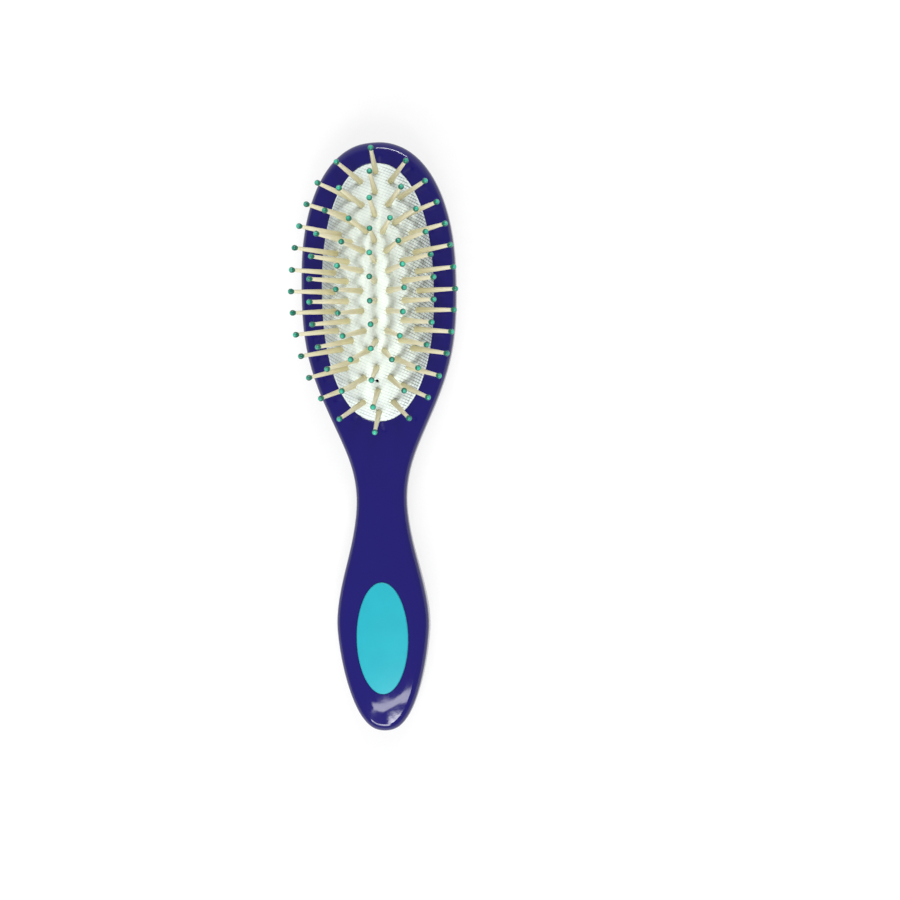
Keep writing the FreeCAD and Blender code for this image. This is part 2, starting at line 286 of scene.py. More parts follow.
def rubber_material(finish):
    """Thermoplastic rubber moulded on a fine eroded grain: a soft matt colour with a broad dull sheen."""
    material, tree, shader = new_material("soft_touch_rubber")
    place = add(tree, "ShaderNodeTexCoord").outputs["Object"]
    mottle = add(tree, "ShaderNodeTexNoise", {"Vector": place, "Scale": 1 / MOTTLE_SIZE, "Detail": 3.0})
    tone = add(tree, "ShaderNodeMix", {"Factor": mottle.outputs["Fac"], "A": finish.rubber,
                                       "B": finish.rubber_shade}, data_type="RGBA")
    tree.links.new(tone.outputs["Result"], shader.inputs["Base Color"])
    grain = add(tree, "ShaderNodeTexNoise", {"Vector": place, "Scale": 1 / finish.grain, "Detail": 2.0})
    rough = add(tree, "ShaderNodeMapRange", {"Value": grain.outputs["Fac"], "To Min": 0.38, "To Max": 0.52})
    tree.links.new(rough.outputs["Result"], shader.inputs["Roughness"])
    bump = add(tree, "ShaderNodeBump", {"Height": grain.outputs["Fac"], "Strength": 0.25,
                                        "Distance": GRAIN_DEPTH})
    tree.links.new(bump.outputs["Normal"], shader.inputs["Normal"])
    shader.inputs["Sheen Weight"].default_value = 0.1
    return material


def cloth_material(sizes):
    """Plain-woven white polyester on rubber: raised threads with fine grey gaps, dull, a little fuzzy aslant.

    The painted shade in the gaps grows where the cloth slopes down the sides of the dome, and more so towards +X.
    """
    material, tree, shader = new_material("woven_polyester")
    threads = add(tree, "ShaderNodeUVMap", uv_map="threads").outputs["UV"]
    count = add(tree, "ShaderNodeVectorMath", {0: threads, "Scale": math.pi * MM / sizes.thread},
                operation="SCALE")
    split = add(tree, "ShaderNodeSeparateXYZ", {"Vector": count.outputs["Vector"]})
    warp = add(tree, "ShaderNodeMath", {0: split.outputs["X"]}, operation="COSINE")
    weft = add(tree, "ShaderNodeMath", {0: split.outputs["Y"]}, operation="COSINE")
    # In a plain weave, warp and weft pass over each other by turns
    over = add(tree, "ShaderNodeMath", {0: warp.outputs[0], 1: weft.outputs[0]}, operation="MULTIPLY")
    warp_body = add(tree, "ShaderNodeMath", {0: warp.outputs[0]}, operation="ABSOLUTE").outputs[0]
    weft_body = add(tree, "ShaderNodeMath", {0: weft.outputs[0]}, operation="ABSOLUTE").outputs[0]
    warp_rise = add(tree, "ShaderNodeMapRange", {"Value": over.outputs[0], "From Min": -1.0, "To Min": 0.5})
    weft_rise = add(tree, "ShaderNodeMapRange", {"Value": over.outputs[0], "From Min": -1.0,
                                                 "To Min": 1.0, "To Max": 0.5})
    warp_high = add(tree, "ShaderNodeMath", {0: warp_body, 1: warp_rise.outputs["Result"]},
                    operation="MULTIPLY")
    weft_high = add(tree, "ShaderNodeMath", {0: weft_body, 1: weft_rise.outputs["Result"]},
                    operation="MULTIPLY")
    high = add(tree, "ShaderNodeMath", {0: warp_high.outputs[0], 1: weft_high.outputs[0]},
               operation="MAXIMUM")
    # The painted shade in the gaps is wider and darker between the rows than between the columns
    rows = add(tree, "ShaderNodeMapRange", {"Value": weft_body, "From Max": 0.5,
                                            "To Min": 1.0, "To Max": 0.0}, interpolation_type="SMOOTHSTEP")
    columns = add(tree, "ShaderNodeMapRange", {"Value": warp_body, "From Max": 0.4,
                                               "To Min": 0.5, "To Max": 0.0}, interpolation_type="SMOOTHSTEP")
    gaps = add(tree, "ShaderNodeMath", {0: rows.outputs["Result"], 1: columns.outputs["Result"]},
               operation="MAXIMUM")
    # Painted shade: the gaps darken as the cloth slopes away from level, and more on the side that faces +X
    normal = add(tree, "ShaderNodeNewGeometry").outputs["Normal"]
    facing = add(tree, "ShaderNodeSeparateXYZ", {"Vector": normal})
    scale_by = add(tree, "ShaderNodeMapRange", {"Value": facing.outputs["Z"], "From Min": CLOTH_LEVEL,
                                               "From Max": CLOTH_STEEP, "To Min": 0.12, "To Max": 1.0})
    plus_x_shade = add(tree, "ShaderNodeMapRange", {"Value": facing.outputs["X"], "From Min": -0.5,
                                            "From Max": 0.5, "To Min": 0.65, "To Max": 1.1})
    painted_shade_share = add(tree, "ShaderNodeMath", {0: scale_by.outputs["Result"], 1: plus_x_shade.outputs["Result"]},
                     operation="MULTIPLY")
    painted_gap_shade = add(tree, "ShaderNodeMath", {0: gaps.outputs[0], 1: painted_shade_share.outputs[0]},
                    operation="MULTIPLY")
    # The gaps are mixed towards the grey of their painted shade
    tone = add(tree, "ShaderNodeMix", {"Factor": painted_gap_shade.outputs[0], "A": sizes.cloth,
                                       "B": sizes.between}, data_type="RGBA")
    tree.links.new(tone.outputs["Result"], shader.inputs["Base Color"])
    bump = add(tree, "ShaderNodeBump", {"Height": high.outputs[0], "Strength": 0.5,
                                        "Distance": THREAD_DEPTH})
    tree.links.new(bump.outputs["Normal"], shader.inputs["Normal"])
    shader.inputs["Roughness"].default_value = 0.85
    shader.inputs["Sheen Weight"].default_value = 0.15
    return material


def nylon_material(sizes):
    """Moulded nylon: a waxy ivory, deeper at the root, with a satin surface."""
    material, tree, shader = new_material("moulded_nylon")
    along = add(tree, "ShaderNodeAttribute", attribute_name="along").outputs["Fac"]
    shade = add(tree, "ShaderNodeAttribute", attribute_name="shade").outputs["Fac"]
    place = add(tree, "ShaderNodeTexCoord").outputs["Object"]
    cloud = add(tree, "ShaderNodeTexNoise", {"Vector": place, "Scale": 1 / HAZE_SIZE, "Detail": 2.0})
    # To the place along the pin come some haze and a shade of each pin's own
    mixed = add(tree, "ShaderNodeMath", {0: cloud.outputs["Fac"], 1: 0.25, 2: along},
                operation="MULTIPLY_ADD")
    whole = add(tree, "ShaderNodeMath", {0: shade, 1: 0.2, 2: mixed.outputs[0]}, operation="MULTIPLY_ADD")
    share = add(tree, "ShaderNodeMapRange", {"Value": whole.outputs[0], "From Min": 0.25, "From Max": 1.1})
    tone = add(tree, "ShaderNodeMix", {"Factor": share.outputs["Result"], "A": sizes.nylon_root,
                                       "B": sizes.nylon}, data_type="RGBA")
    tree.links.new(tone.outputs["Result"], shader.inputs["Base Color"])
    rough = add(tree, "ShaderNodeMapRange", {"Value": cloud.outputs["Fac"], "To Min": 0.34, "To Max": 0.48})
    tree.links.new(rough.outputs["Result"], shader.inputs["Roughness"])
    shader.inputs["IOR"].default_value = 1.53
    return material


def resin_material(sizes):
    """Dipped epoxy resin: a clear-looking teal bead with a wet gloss and a small bright glint; its colour holds a
    painted highlight and shade.
    """
    material, tree, shader = new_material("dipped_resin")
    shade = add(tree, "ShaderNodeAttribute", attribute_name="shade").outputs["Fac"]
    place = add(tree, "ShaderNodeTexCoord").outputs["Object"]
    swirl = add(tree, "ShaderNodeTexNoise", {"Vector": place, "Scale": 1 / SWIRL_SIZE, "Detail": 1.0})
    crown = add(tree, "ShaderNodeAttribute", attribute_name="crown").outputs["Fac"]
    # Painted highlight at the crown and painted shade down the sides follow the height on the ball; to it come
    # some streaks and a random tone of each ball's own
    mixed = add(tree, "ShaderNodeMath", {0: swirl.outputs["Fac"], 1: 0.3, 2: crown},
                operation="MULTIPLY_ADD")
    whole = add(tree, "ShaderNodeMath", {0: shade, 1: 0.3, 2: mixed.outputs[0]}, operation="MULTIPLY_ADD")
    share = add(tree, "ShaderNodeMapRange", {"Value": whole.outputs[0], "From Min": 0.85, "From Max": 1.45})
    tone = add(tree, "ShaderNodeMix", {"Factor": share.outputs["Result"], "A": sizes.resin_painted_shade,
                                       "B": sizes.resin}, data_type="RGBA")
    tree.links.new(tone.outputs["Result"], shader.inputs["Base Color"])
    rough = add(tree, "ShaderNodeMapRange", {"Value": swirl.outputs["Fac"], "To Min": 0.06, "To Max": 0.14})
    tree.links.new(rough.outputs["Result"], shader.inputs["Roughness"])
    shader.inputs["IOR"].default_value = 1.55
    return material


def show(name, mesh, body, replaced=()):
    """A finished mesh as a piece that rides on a body and stands for CAD nodes, which it hides."""
    piece = bpy.data.objects.new(name, mesh)
    bpy.context.scene.collection.objects.link(piece)
    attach(piece, body)
    if replaced:
        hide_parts(*replaced)
    return piece


def refinish(node, material):
    """Gives a CAD node its finish."""
    piece = frame["nodes"][node]
    piece.data.materials.clear()
    piece.data.materials.append(material)


def solids_of(node):
    """Vertex places of each separate solid in a CAD node."""
    mesh = bmesh.new()
    mesh.from_mesh(frame["nodes"][node].data)
    bmesh.ops.remove_doubles(mesh, verts=mesh.verts, dist=MERGE)
    solids = []
    for start in mesh.verts:
        if start.tag:
            continue
        start.tag = True
        group = [start]
        for vert in group:
            for edge in vert.link_edges:
                other = edge.other_vert(vert)
                if not other.tag:
                    other.tag = True
                    group.append(other)
        solids.append(np.array([v.co for v in group]))
    mesh.free()
    return solids


def pin_axis(places):
    """Foot, unit direction and length of a pin, from its vertices."""
    middle = places.mean(axis=0)
    direction = np.linalg.eigh(np.cov((places - middle).T))[1][:, -1]
    direction *= math.copysign(1, direction[2])
    reach = (places - middle) @ direction
    return middle + direction * reach.min(), direction, reach.max() - reach.min()


def row_axes():
    """Axes of the pins of each row, by the body that carries them."""
    rows = {}
    for body, nodes in BODIES.items():
        axes = [pin_axis(solid) for node in nodes if node.endswith("_pins") for solid in solids_of(node)]
        if axes:
            rows[body] = axes
    return rows


PIN_AXES = row_axes()
PIN_LENGTH = next(iter(PIN_AXES.values()))[0][2]


def axis_points(axes):
    """A mesh of one vertex at each pin's foot, with the pin's direction as an attribute."""
    mesh = bpy.data.meshes.new("pin_feet")
    mesh.from_pydata([foot for foot, _, _ in axes], [], [])
    lean = mesh.attributes.new("lean", "FLOAT_VECTOR", "POINT")
    lean.data.foreach_set("vector", np.array([direction for _, direction, _ in axes], np.float32).ravel())
    return mesh


def new_tree(name, inputs):
    """A geometry tree that takes and gives a mesh, with more named inputs, and its input node's outputs."""
    tree = bpy.data.node_groups.new(name, "GeometryNodeTree")
    tree.interface.new_socket("Geometry", in_out="OUTPUT", socket_type="NodeSocketGeometry")
    tree.interface.new_socket("Geometry", in_out="INPUT", socket_type="NodeSocketGeometry")
    for label, kind in inputs.items():
        tree.interface.new_socket(label, in_out="INPUT", socket_type=kind)
    return tree, add(tree, "NodeGroupInput").outputs


def stand_on_feet(tree, given, shape):
    """Ends a tree: stands a shape on every point along its direction, with a small tilt, as one mesh."""
    lean = add(tree, "GeometryNodeInputNamedAttribute", {"Name": "lean"}, data_type="FLOAT_VECTOR")
    true = add(tree, "FunctionNodeAlignRotationToVector", {"Vector": lean.outputs["Attribute"]}, axis="Z")
    chance = add(tree, "FunctionNodeRandomValue", {0: (-1, -1, -1), 1: (1, 1, 1), "Seed": given["Seed"]},
                 data_type="FLOAT_VECTOR")
    tilt = add(tree, "ShaderNodeVectorMath", {0: chance.outputs[0], "Scale": given["Tilt"]},
               operation="SCALE")
    small = add(tree, "FunctionNodeEulerToRotation", {"Euler": tilt.outputs["Vector"]})
    turned = add(tree, "FunctionNodeRotateRotation", {"Rotation": true.outputs[0],
                                                      "Rotate By": small.outputs[0]}, rotation_space="LOCAL")
    copies = add(tree, "GeometryNodeInstanceOnPoints", {"Points": given["Geometry"], "Instance": shape,
                                                        "Rotation": turned.outputs[0]})
    shade = add(tree, "FunctionNodeRandomValue", {"Seed": given["Seed"]}, data_type="FLOAT")
    shaded = add(tree, "GeometryNodeStoreNamedAttribute", {"Geometry": copies.outputs[0], "Name": "shade",
                                                           "Value": shade.outputs[1]}, domain="INSTANCE")
    whole = add(tree, "GeometryNodeRealizeInstances", {"Geometry": shaded.outputs[0]})
    finished = add(tree, "GeometryNodeSetMaterial", {"Geometry": whole.outputs[0],
                                                     "Material": given["Material"]})
    add(tree, "NodeGroupOutput", {"Geometry": finished.outputs[0]})


REPEAT_INPUTS = {"Tilt": "NodeSocketFloat", "Seed": "NodeSocketInt", "Material": "NodeSocketMaterial"}


def pin_tree():
    """Tapered pins: a round shaft on a flat head."""
    tree, given = new_tree("tapered_pins", {
        "Length": "NodeSocketFloat", "Root Radius": "NodeSocketFloat", "Tip Radius": "NodeSocketFloat",
        "Head Radius": "NodeSocketFloat", "Head Thickness": "NodeSocketFloat", "Sides": "NodeSocketInt",
        **REPEAT_INPUTS})
    top = add(tree, "ShaderNodeCombineXYZ", {"Z": given["Length"]})
    line = add(tree, "GeometryNodeCurvePrimitiveLine", {"End": top.outputs[0]})
    steps = add(tree, "GeometryNodeResampleCurve", {"Curve": line.outputs[0], "Count": SHAFT_POINTS})
    factor = add(tree, "GeometryNodeSplineParameter").outputs["Factor"]
    marked = add(tree, "GeometryNodeStoreNamedAttribute", {"Geometry": steps.outputs[0], "Name": "along",
                                                           "Value": factor})
    taper = add(tree, "ShaderNodeMapRange", {"Value": factor, "To Min": given["Root Radius"],
                                             "To Max": given["Tip Radius"]})
    ring = add(tree, "GeometryNodeCurvePrimitiveCircle", {"Resolution": given["Sides"], "Radius": 1.0})
    shaft = add(tree, "GeometryNodeCurveToMesh", {
        "Curve": marked.outputs[0], "Profile Curve": ring.outputs[0], "Scale": taper.outputs["Result"],
        "Fill Caps": True})
    disc = add(tree, "GeometryNodeMeshCylinder", {"Vertices": given["Sides"], "Radius": given["Head Radius"],
                                                  "Depth": given["Head Thickness"]})
    half = add(tree, "ShaderNodeMath", {0: given["Head Thickness"], 1: 0.5}, operation="MULTIPLY")
    lift = add(tree, "ShaderNodeCombineXYZ", {"Z": half.outputs[0]})
    head = add(tree, "GeometryNodeTransform", {"Geometry": disc.outputs[0], "Translation": lift.outputs[0]})
    both = add(tree, "GeometryNodeJoinGeometry", {"Geometry": shaft.outputs[0]})
    tree.links.new(head.outputs[0], both.inputs[0])
    smooth = add(tree, "GeometryNodeSetShadeSmooth", {"Geometry": both.outputs[0]})
    stand_on_feet(tree, given, smooth.outputs[0])
    return tree


def ball_tree():
    """Ball tips: beads of resin that run a little way down their pins."""
    tree, given = new_tree("ball_tips", {
        "Height": "NodeSocketFloat", "Radius": "NodeSocketFloat", "Neck": "NodeSocketFloat",
        "Sides": "NodeSocketInt", **REPEAT_INPUTS})
    ball = add(tree, "GeometryNodeMeshUVSphere", {"Segments": given["Sides"], "Rings": BALL_RINGS,
                                                  "Radius": given["Radius"]})
    place = add(tree, "ShaderNodeSeparateXYZ", {"Vector": add(tree, "GeometryNodeInputPosition").outputs[0]})
    share = add(tree, "ShaderNodeMath", {0: place.outputs["Z"], 1: given["Radius"]}, operation="DIVIDE")
    drawn = add(tree, "ShaderNodeMapRange", {"Value": share.outputs[0], "From Min": NECK_START,
                                             "From Max": -1.0})
    down = add(tree, "ShaderNodeMath", {0: drawn.outputs["Result"], 1: given["Neck"]}, operation="MULTIPLY")
    height = add(tree, "ShaderNodeMath", {0: given["Height"], 1: down.outputs[0]}, operation="SUBTRACT")
    lift = add(tree, "ShaderNodeCombineXYZ", {"Z": height.outputs[0]})
    marked = add(tree, "GeometryNodeStoreNamedAttribute", {"Geometry": ball.outputs["Mesh"], "Name": "crown",
                                                           "Value": share.outputs[0]})
    bead = add(tree, "GeometryNodeSetPosition", {"Geometry": marked.outputs[0], "Offset": lift.outputs[0]})
    smooth = add(tree, "GeometryNodeSetShadeSmooth", {"Geometry": bead.outputs[0]})
    stand_on_feet(tree, given, smooth.outputs[0])
    return tree


def grown(tree, base, values):
    """The plain mesh that a tree makes on a base mesh."""
    source = bpy.data.objects.new(base.name, base)
    bpy.context.scene.collection.objects.link(source)
    modifier = source.modifiers.new(tree.name, "NODES")
    modifier.node_group = tree
    for socket in tree.interface.items_tree:
        if socket.name in values:
            modifier[socket.identifier] = values[socket.name]
    depsgraph = bpy.context.evaluated_depsgraph_get()
    mesh = bpy.data.meshes.new_from_object(source.evaluated_get(depsgraph), preserve_all_data_layers=True,
                                           depsgraph=depsgraph)
    source.modifiers.remove(modifier)
    bpy.data.objects.remove(source)
    return mesh


def stand_row(kind, tree, values):
    """Stands one piece of pins or tips on each row's body, in place of the CAD nodes of that kind."""
    for body, axes in PIN_AXES.items():
        mesh = grown(tree, axis_points(axes), values)
        mesh.name = body + "_" + kind
        show(mesh.name, mesh, body, [n for n in BODIES[body] if n.endswith("_" + kind)])


def dome_height(x, y):
    """Height of the dome's surface at places measured from the pad's middle."""
    reach = ALONG - ACROSS + np.sqrt(ACROSS ** 2 - x ** 2)
    return CROWN - ALONG + np.sqrt(reach ** 2 - y ** 2)


def hemmed_height(x, y, sizes):
    """Height of the cloth: the dome, turned down near the rim to a level hem just under the rim's top."""
    full = (np.abs(x / PAD_HALF_WIDTH) ** PAD_FULLNESS + np.abs(y / PAD_HALF_LENGTH) ** PAD_FULLNESS)
    full = full ** (1 / PAD_FULLNESS)
    # At the pad's middle both are 0, so least values stand in for them there
    reach = np.maximum(np.hypot(x, y), MM)
    inside = np.maximum(0, (1 / np.maximum(full, 0.01) - 1) * reach)
    turn = np.clip((sizes.hem_turn - inside) / (sizes.hem_turn - sizes.hem), 0, 1)
    outward = 1 + np.minimum(sizes.hem * turn, inside) / reach
    level = RIM_TOP - RIM_FALL * (x / RIM_SPAN) ** 2 - sizes.hem_drop
    hem = np.clip(inside / sizes.hem - 1, 0, 1)
    return level + (dome_height(x * outward, y * outward) - level) * hem * hem * (3 - 2 * hem)


def oval_grid(cell):
    """Rows of places on a grid stretched over the pad's oval, as shares of its half width and length."""
    across = 2 * round(PAD_HALF_WIDTH / cell) + 1
    along = 2 * round(PAD_HALF_LENGTH / cell) + 1
    u, v = np.meshgrid(np.linspace(-1, 1, across), np.linspace(-1, 1, along))
    x, y = u * np.sqrt(1 - v ** 2 / 2), v * np.sqrt(1 - u ** 2 / 2)
    round_reach = np.hypot(x, y)
    full_reach = (np.abs(x) ** PAD_FULLNESS + np.abs(y) ** PAD_FULLNESS) ** (1 / PAD_FULLNESS)
    scale_by = np.divide(round_reach, full_reach, out=np.ones_like(x), where=full_reach > 0)
    return x * scale_by, y * scale_by


def cushion_sheet(sizes):
    """The cloth as a sheet on the dome, drawn down at each pin, and which vertices the pins and rim hold."""
    share_x, share_y = oval_grid(sizes.cell)
    rows, columns = share_x.shape
    x, y = share_x.ravel() * PAD_HALF_WIDTH, share_y.ravel() * PAD_HALF_LENGTH
    places = np.stack([x, y + PAD_Y, hemmed_height(x, y, sizes)], 1)
    held = np.zeros(places.shape[0], bool)
    for axes in PIN_AXES.values():
        for foot, direction, _ in axes:
            to = places - foot
            aside = np.linalg.norm(to - np.outer(to @ direction, direction), axis=1)
            held |= aside < sizes.foot
    places[held, 2] -= sizes.dimple
    edge = np.zeros((rows, columns), bool)
    edge[[0, -1], :] = True
    edge[:, [0, -1]] = True
    held |= edge.ravel()
    first = np.arange(rows * columns).reshape(rows, columns)[:-1, :-1].ravel()
    faces = np.stack([first, first + 1, first + columns + 1, first + columns], 1)
    return places, faces, held


def swollen(places, faces, held, sizes):
    """Places of the sheet after air has swelled the cloth between the vertices that are held."""
    mesh = bpy.data.meshes.new("cloth_trial")
    mesh.from_pydata((places * TRIAL_SCALE).tolist(), [], faces.tolist())
    trial = bpy.data.objects.new("cloth_trial", mesh)
    bpy.context.scene.collection.objects.link(trial)
    group = trial.vertex_groups.new(name="held")
    group.add([int(k) for k in np.flatnonzero(held)], 1.0, "REPLACE")
    cloth = trial.modifiers.new("cloth", "CLOTH").settings
    cloth.vertex_group_mass = "held"
    cloth.use_pressure = True
    cloth.uniform_pressure_force = sizes.pressure
    cloth.effector_weights.gravity = 0
    scene = bpy.context.scene
    for step in range(1, TRIAL_STEPS + 1):
        scene.frame_set(step)
    result = trial.evaluated_get(bpy.context.evaluated_depsgraph_get()).data
    moved = np.empty(len(places) * 3, np.float32)
    result.vertices.foreach_get("co", moved)
    scene.frame_set(1)
    bpy.data.objects.remove(trial)
    shift = moved.reshape(-1, 3) / TRIAL_SCALE - places
    far = np.linalg.norm(shift, axis=1, keepdims=True)
    return places + shift * np.minimum(1, sizes.swell / np.maximum(far, STILL))


def open_vent(mesh, sizes):
    """Opens the round air vent in the sheet."""
    middle = Vector((0, PAD_Y - sizes.vent_place))
    vert = min(mesh.verts, key=lambda v: (v.co.xy - middle).length)
    ring = {v for face in vert.link_faces for v in face.verts} - {vert}
    centre = vert.co.xy
    bmesh.ops.delete(mesh, geom=[vert], context="VERTS")
    for corner in ring:
        corner.co.xy = centre + (corner.co.xy - centre).normalized() * sizes.vent_bore / 2


def add_flange(mesh):
    """Carries the sheet's outer edge down past the rim and out under the body's lip."""
    edges = [e for e in mesh.edges if e.is_boundary and e.verts[0].co.z < RIM_TOP + RISE / 2]
    grow_x, grow_y = 1 + FLANGE_REACH / PAD_HALF_WIDTH, 1 + FLANGE_REACH / PAD_HALF_LENGTH
    turns = ((FLANGE_TOP + FLANGE_THICK, 1, 1), (FLANGE_TOP, 1, 1), (FLANGE_TOP, grow_x, grow_y))
    for height, wide, long in turns:
        made = bmesh.ops.extrude_edge_only(mesh, edges=edges)["geom"]
        edges = [e for e in made if isinstance(e, bmesh.types.BMEdge) and e.is_boundary]
        for vert in {v for e in edges for v in e.verts}:
            vert.co = (vert.co.x * wide, PAD_Y + (vert.co.y - PAD_Y) * long, height)


def lay_threads(mesh, askew):
    """A UV map in millimetres along the cloth's threads, turned by an angle from the brush's length."""
    turn = Matrix.Rotation(askew, 2)
    layer = mesh.uv_layers.new(name="threads")
    for loop in mesh.loops:
        place = mesh.vertices[loop.vertex_index].co
        across = ACROSS * math.asin(max(-1, min(1, place.x / ACROSS)))
        along = ALONG * math.asin((place.y - PAD_Y) / ALONG)
        layer.data[loop.index].uv = turn @ Vector((across / MM, along / MM))


def with_modifiers(name, mesh, *modifiers):
    """The plain mesh after modifiers, each given as its kind and settings."""
    source = bpy.data.objects.new(name, mesh)
    bpy.context.scene.collection.objects.link(source)
    for kind, settings in modifiers:
        modifier = source.modifiers.new(kind, kind)
        for key, value in settings.items():
            setattr(modifier, key, value)
    depsgraph = bpy.context.evaluated_depsgraph_get()
    result = bpy.data.meshes.new_from_object(source.evaluated_get(depsgraph), depsgraph=depsgraph)
    bpy.data.objects.remove(source)
    return result


def cushion_mesh(sizes):
    """The cushion: a domed skin of cloth on rubber, swollen between its pins, with a vent and a flange."""
    places, faces, held = cushion_sheet(sizes)
    places = swollen(places, faces, held, sizes)
    sheet = bpy.data.meshes.new("cushion_sheet")
    sheet.from_pydata(places.tolist(), [], faces.tolist())
    mesh = bmesh.new()
    mesh.from_mesh(sheet)
    open_vent(mesh, sizes)
    mesh.to_mesh(sheet)
    mesh.free()
    smooth = with_modifiers("cushion_smooth", sheet, ("SUBSURF", {"levels": 1, "render_levels": 1}))
    mesh = bmesh.new()
    mesh.from_mesh(smooth)
    add_flange(mesh)
    bmesh.ops.recalc_face_normals(mesh, faces=mesh.faces)
    mesh.to_mesh(smooth)
    mesh.free()
    whole = with_modifiers("cushion_skin", smooth, ("SOLIDIFY", {"thickness": sizes.skin, "offset": -1,
                                                                 "use_even_offset": True}))
    whole.shade_smooth()
    lay_threads(whole, sizes.askew)
    whole.name = "cushion_pad"
    return whole


class BRUSH_OT_body(bpy.types.Operator):
    """Finishes the moulded body in glossy indigo plastic"""
    bl_idname = "brush.body"
    bl_label = "Finish body"

    def execute(self, context):
        refinish("body", plastic_material(context.scene.brush_body))
        return {"FINISHED"}


class BRUSH_OT_thumb_inlay(bpy.types.Operator):
    """Finishes the thumb inlay in soft turquoise rubber"""
    bl_idname = "brush.thumb_inlay"
    bl_label = "Finish thumb inlay"

    def execute(self, context):
        refinish("thumb_inlay", rubber_material(context.scene.brush_body))
        return {"FINISHED"}


class BRUSH_OT_cushion(bpy.types.Operator):
    """Makes the cloth-faced cushion"""
    bl_idname = "brush.cushion"
    bl_label = "Make cushion"

    def execute(self, context):
        sizes = context.scene.brush_cushion
        mesh = cushion_mesh(sizes)
        mesh.materials.append(cloth_material(sizes))
        cushion = show("cushion_pad", mesh, "brush_body", ["cushion"])
        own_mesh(cushion)
        return {"FINISHED"}


class BRUSH_OT_pins(bpy.types.Operator):
    """Stands the tapered nylon pins in the cushion"""
    bl_idname = "brush.pins"
    bl_label = "Stand pins"

    def execute(self, context):
        sizes = context.scene.brush_pins
        stand_row("pins", pin_tree(), {
            "Length": PIN_LENGTH, "Root Radius": sizes.root, "Tip Radius": sizes.tip,
            "Head Radius": sizes.head, "Head Thickness": sizes.head_thick, "Sides": sizes.sides,
            "Tilt": sizes.tilt, "Seed": sizes.seed, "Material": nylon_material(sizes)})
        return {"FINISHED"}


class BRUSH_OT_tips(bpy.types.Operator):
    """Puts a resin ball on the tip of every pin"""
    bl_idname = "brush.tips"
    bl_label = "Dip ball tips"

    def execute(self, context):
        sizes = context.scene.brush_pins
        height = PIN_LENGTH + math.sqrt(sizes.ball ** 2 - sizes.tip ** 2)
        stand_row("tips", ball_tree(), {
            "Height": height, "Radius": sizes.ball, "Neck": sizes.neck, "Sides": sizes.sides,
            "Tilt": sizes.tilt, "Seed": sizes.seed, "Material": resin_material(sizes)})
        return {"FINISHED"}


def seen_directly(tree):
    """A socket that is 1 for the rays that show a thing: straight, mirrored or through glass."""
    path = add(tree, "ShaderNodeLightPath").outputs
    mirrored = add(tree, "ShaderNodeMath", {0: path["Is Camera Ray"], 1: path["Is Glossy Ray"]},
                   operation="MAXIMUM")
    seen = add(tree, "ShaderNodeMath", {0: mirrored.outputs[0], 1: path["Is Transmission Ray"]},
               operation="MAXIMUM")
    return seen.outputs[0]


def floor_material(sizes):
    """Pale seamless paper: even and matt, near white with the brush's shadow, and plain white far off."""
    material, tree, shader = new_material("seamless_paper")
    place = add(tree, "ShaderNodeTexCoord").outputs["Object"]
    away = add(tree, "ShaderNodeVectorMath", {0: place}, operation="LENGTH")
    glow = add(tree, "ShaderNodeMapRange", {"Value": away.outputs["Value"], "From Min": FLOOR_NEAR,
                                            "From Max": FLOOR_FAR, "To Min": sizes.floor_glow},
               interpolation_type="SMOOTHSTEP")
    paper = add(tree, "ShaderNodeMix", {"Factor": glow.outputs["Result"], "A": sizes.floor,
                                        "B": (0, 0, 0, 1)}, data_type="RGBA")
    tree.links.new(paper.outputs["Result"], shader.inputs["Base Color"])
    shader.inputs["Roughness"].default_value = 1.0
    shader.inputs["Specular IOR Level"].default_value = 0.0
    shown = add(tree, "ShaderNodeMath", {0: seen_directly(tree), 1: glow.outputs["Result"]},
                operation="MULTIPLY")
    tree.links.new(shown.outputs[0], shader.inputs["Emission Strength"])
    shader.inputs["Emission Color"].default_value = (1, 1, 1, 1)
    return material


# Lamps: what each is aimed at, how far it leans from straight above towards +X and +Y in degrees,
# its width and height, and its brightness, where white paper in even light has 1
LAMPS = {
    "key_panel": ((0, -80 * MM, 12 * MM), (4, -24.9), (0.80, 0.085), 8.5),
    "key_strip": ((0, -80 * MM, 12 * MM), (-16, -47), (0.60, 0.25), 10),
    "key_spot": ((0, -80 * MM, -18 * MM), (9, -33.2), (0.28, 0.14), 21),
    "nose_strip": ((0, 86 * MM, 12 * MM), (8, 39.5), (0.42, 0.11), 27),
}
LAMP_DISTANCE = 1.0


def softbox(name, aim, lean, size, radiance):
    """A rectangular lamp of a size and a brightness, hung over a place that it is turned to."""
    lamp = bpy.data.lights.new(name, "AREA")
    lamp.shape = "RECTANGLE"
    lamp.size, lamp.size_y = size
    lamp.energy = radiance * math.pi * lamp.size * lamp.size_y
    away = Vector((*[math.tan(math.radians(a)) for a in lean], 1)).normalized()
    holder = bpy.data.objects.new(name, lamp)
    holder.location = Vector(aim) + away * LAMP_DISTANCE
    holder.rotation_euler = (-away).to_track_quat("-Z", "Y").to_euler()
    bpy.context.scene.collection.objects.link(holder)


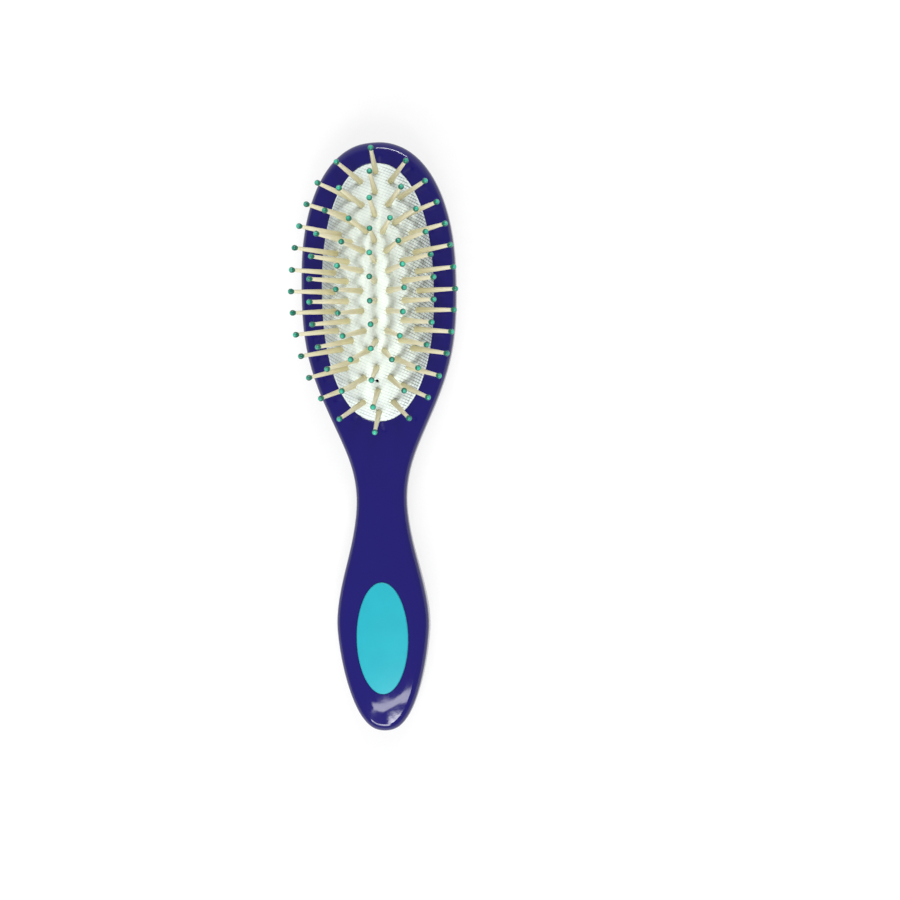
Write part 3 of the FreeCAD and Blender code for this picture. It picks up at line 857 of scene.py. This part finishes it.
def studio_world():
    """A pale sweep all round under a slightly dimmer ceiling, with a bright wall beyond the head."""
    world = bpy.data.worlds.new("studio")
    world.use_nodes = True
    tree = world.node_tree
    background = tree.nodes["Background"]
    background.inputs["Color"].default_value = (1, 1, 1, 1)
    around = add(tree, "ShaderNodeTexCoord").outputs["Generated"]
    way = add(tree, "ShaderNodeSeparateXYZ", {"Vector": around})
    sweep = add(tree, "ShaderNodeMapRange", {
        "Value": way.outputs["Z"], "From Min": HORIZON, "From Max": CEILING_FROM, "To Min": SWEEP_LIGHT,
        "To Max": CEILING_LIGHT}, interpolation_type="SMOOTHSTEP")
    far = add(tree, "ShaderNodeMapRange", {
        "Value": way.outputs["Y"], "From Min": WALL_EDGE, "From Max": WALL_FULL, "To Min": 0.0,
        "To Max": WALL_LIGHT}, interpolation_type="SMOOTHSTEP")
    lit = add(tree, "ShaderNodeMath", {0: sweep.outputs["Result"], 1: far.outputs["Result"]},
              operation="ADD")
    low = add(tree, "ShaderNodeMath", {0: way.outputs["Z"], 1: HORIZON}, operation="LESS_THAN")
    white = add(tree, "ShaderNodeMath", {0: low.outputs[0], 1: seen_directly(tree)}, operation="MULTIPLY")
    shown = add(tree, "ShaderNodeMath", {0: lit.outputs[0], 1: white.outputs[0]}, operation="MAXIMUM")
    tree.links.new(shown.outputs[0], background.inputs["Strength"])
    return world


class BRUSH_OT_stage(bpy.types.Operator):
    """Sets up the floor, the lamps and the camera"""
    bl_idname = "brush.stage"
    bl_label = "Set up studio"

    def execute(self, context):
        sizes = context.scene.brush_studio
        scene = context.scene
        mesh = bpy.data.meshes.new("floor")
        corners = [(x * FLOOR_HALF, y * FLOOR_HALF, -FLOOR_DROP)
                   for x, y in ((-1, -1), (1, -1), (1, 1), (-1, 1))]
        mesh.from_pydata(corners, [], [(0, 1, 2, 3)])
        mesh.materials.append(floor_material(sizes))
        floor = bpy.data.objects.new("floor", mesh)
        scene.collection.objects.link(floor)

        for name, lamp in LAMPS.items():
            softbox(name, *lamp)
        scene.world = studio_world()

        camera = bpy.data.cameras.new("camera")
        camera.lens = sizes.lens
        camera.sensor_width = SENSOR
        camera.clip_end = VIEW_REACH
        holder = bpy.data.objects.new("camera", camera)
        turn = Euler(sizes.turn)
        holder.rotation_euler = turn
        holder.location = Vector(sizes.aim) + turn.to_matrix() @ Vector((0, 0, sizes.distance))
        scene.collection.objects.link(holder)
        scene.camera = holder
        scene.view_settings.view_transform = "Standard"
        return {"FINISHED"}


class BRUSH_PT_panel(bpy.types.Panel):
    """Sizes, finishes and steps of the hair brush"""
    bl_idname = "BRUSH_PT_panel"
    bl_label = "Hair Brush"
    bl_space_type = "VIEW_3D"
    bl_region_type = "UI"
    bl_category = "Hair Brush"

    def draw(self, context):
        for group in GROUPS:
            box = self.layout.box()
            box.label(text=GROUPS[group].__doc__)
            for name in GROUPS[group].__annotations__:
                box.prop(getattr(context.scene, group), name)
        for step in STEPS:
            self.layout.operator(step.bl_idname)


GROUPS = {"brush_body": BodyFinish, "brush_cushion": CushionSizes, "brush_pins": PinSizes,
          "brush_studio": StudioSizes}
STEPS = [BRUSH_OT_body, BRUSH_OT_thumb_inlay, BRUSH_OT_cushion, BRUSH_OT_pins, BRUSH_OT_tips, BRUSH_OT_stage]
CLASSES = [*GROUPS.values(), *STEPS, BRUSH_PT_panel]


def register():
    for cls in CLASSES:
        bpy.utils.register_class(cls)
    for name, group in GROUPS.items():
        setattr(bpy.types.Scene, name, PointerProperty(type=group))


def unregister():
    for name in GROUPS:
        delattr(bpy.types.Scene, name)
    for cls in reversed(CLASSES):
        bpy.utils.unregister_class(cls)


def main():
    register()
    bpy.ops.brush.body()
    bpy.ops.brush.thumb_inlay()
    bpy.ops.brush.cushion()
    bpy.ops.brush.pins()
    bpy.ops.brush.tips()
    bpy.ops.brush.stage()


if __name__ == "__main__":
    main()
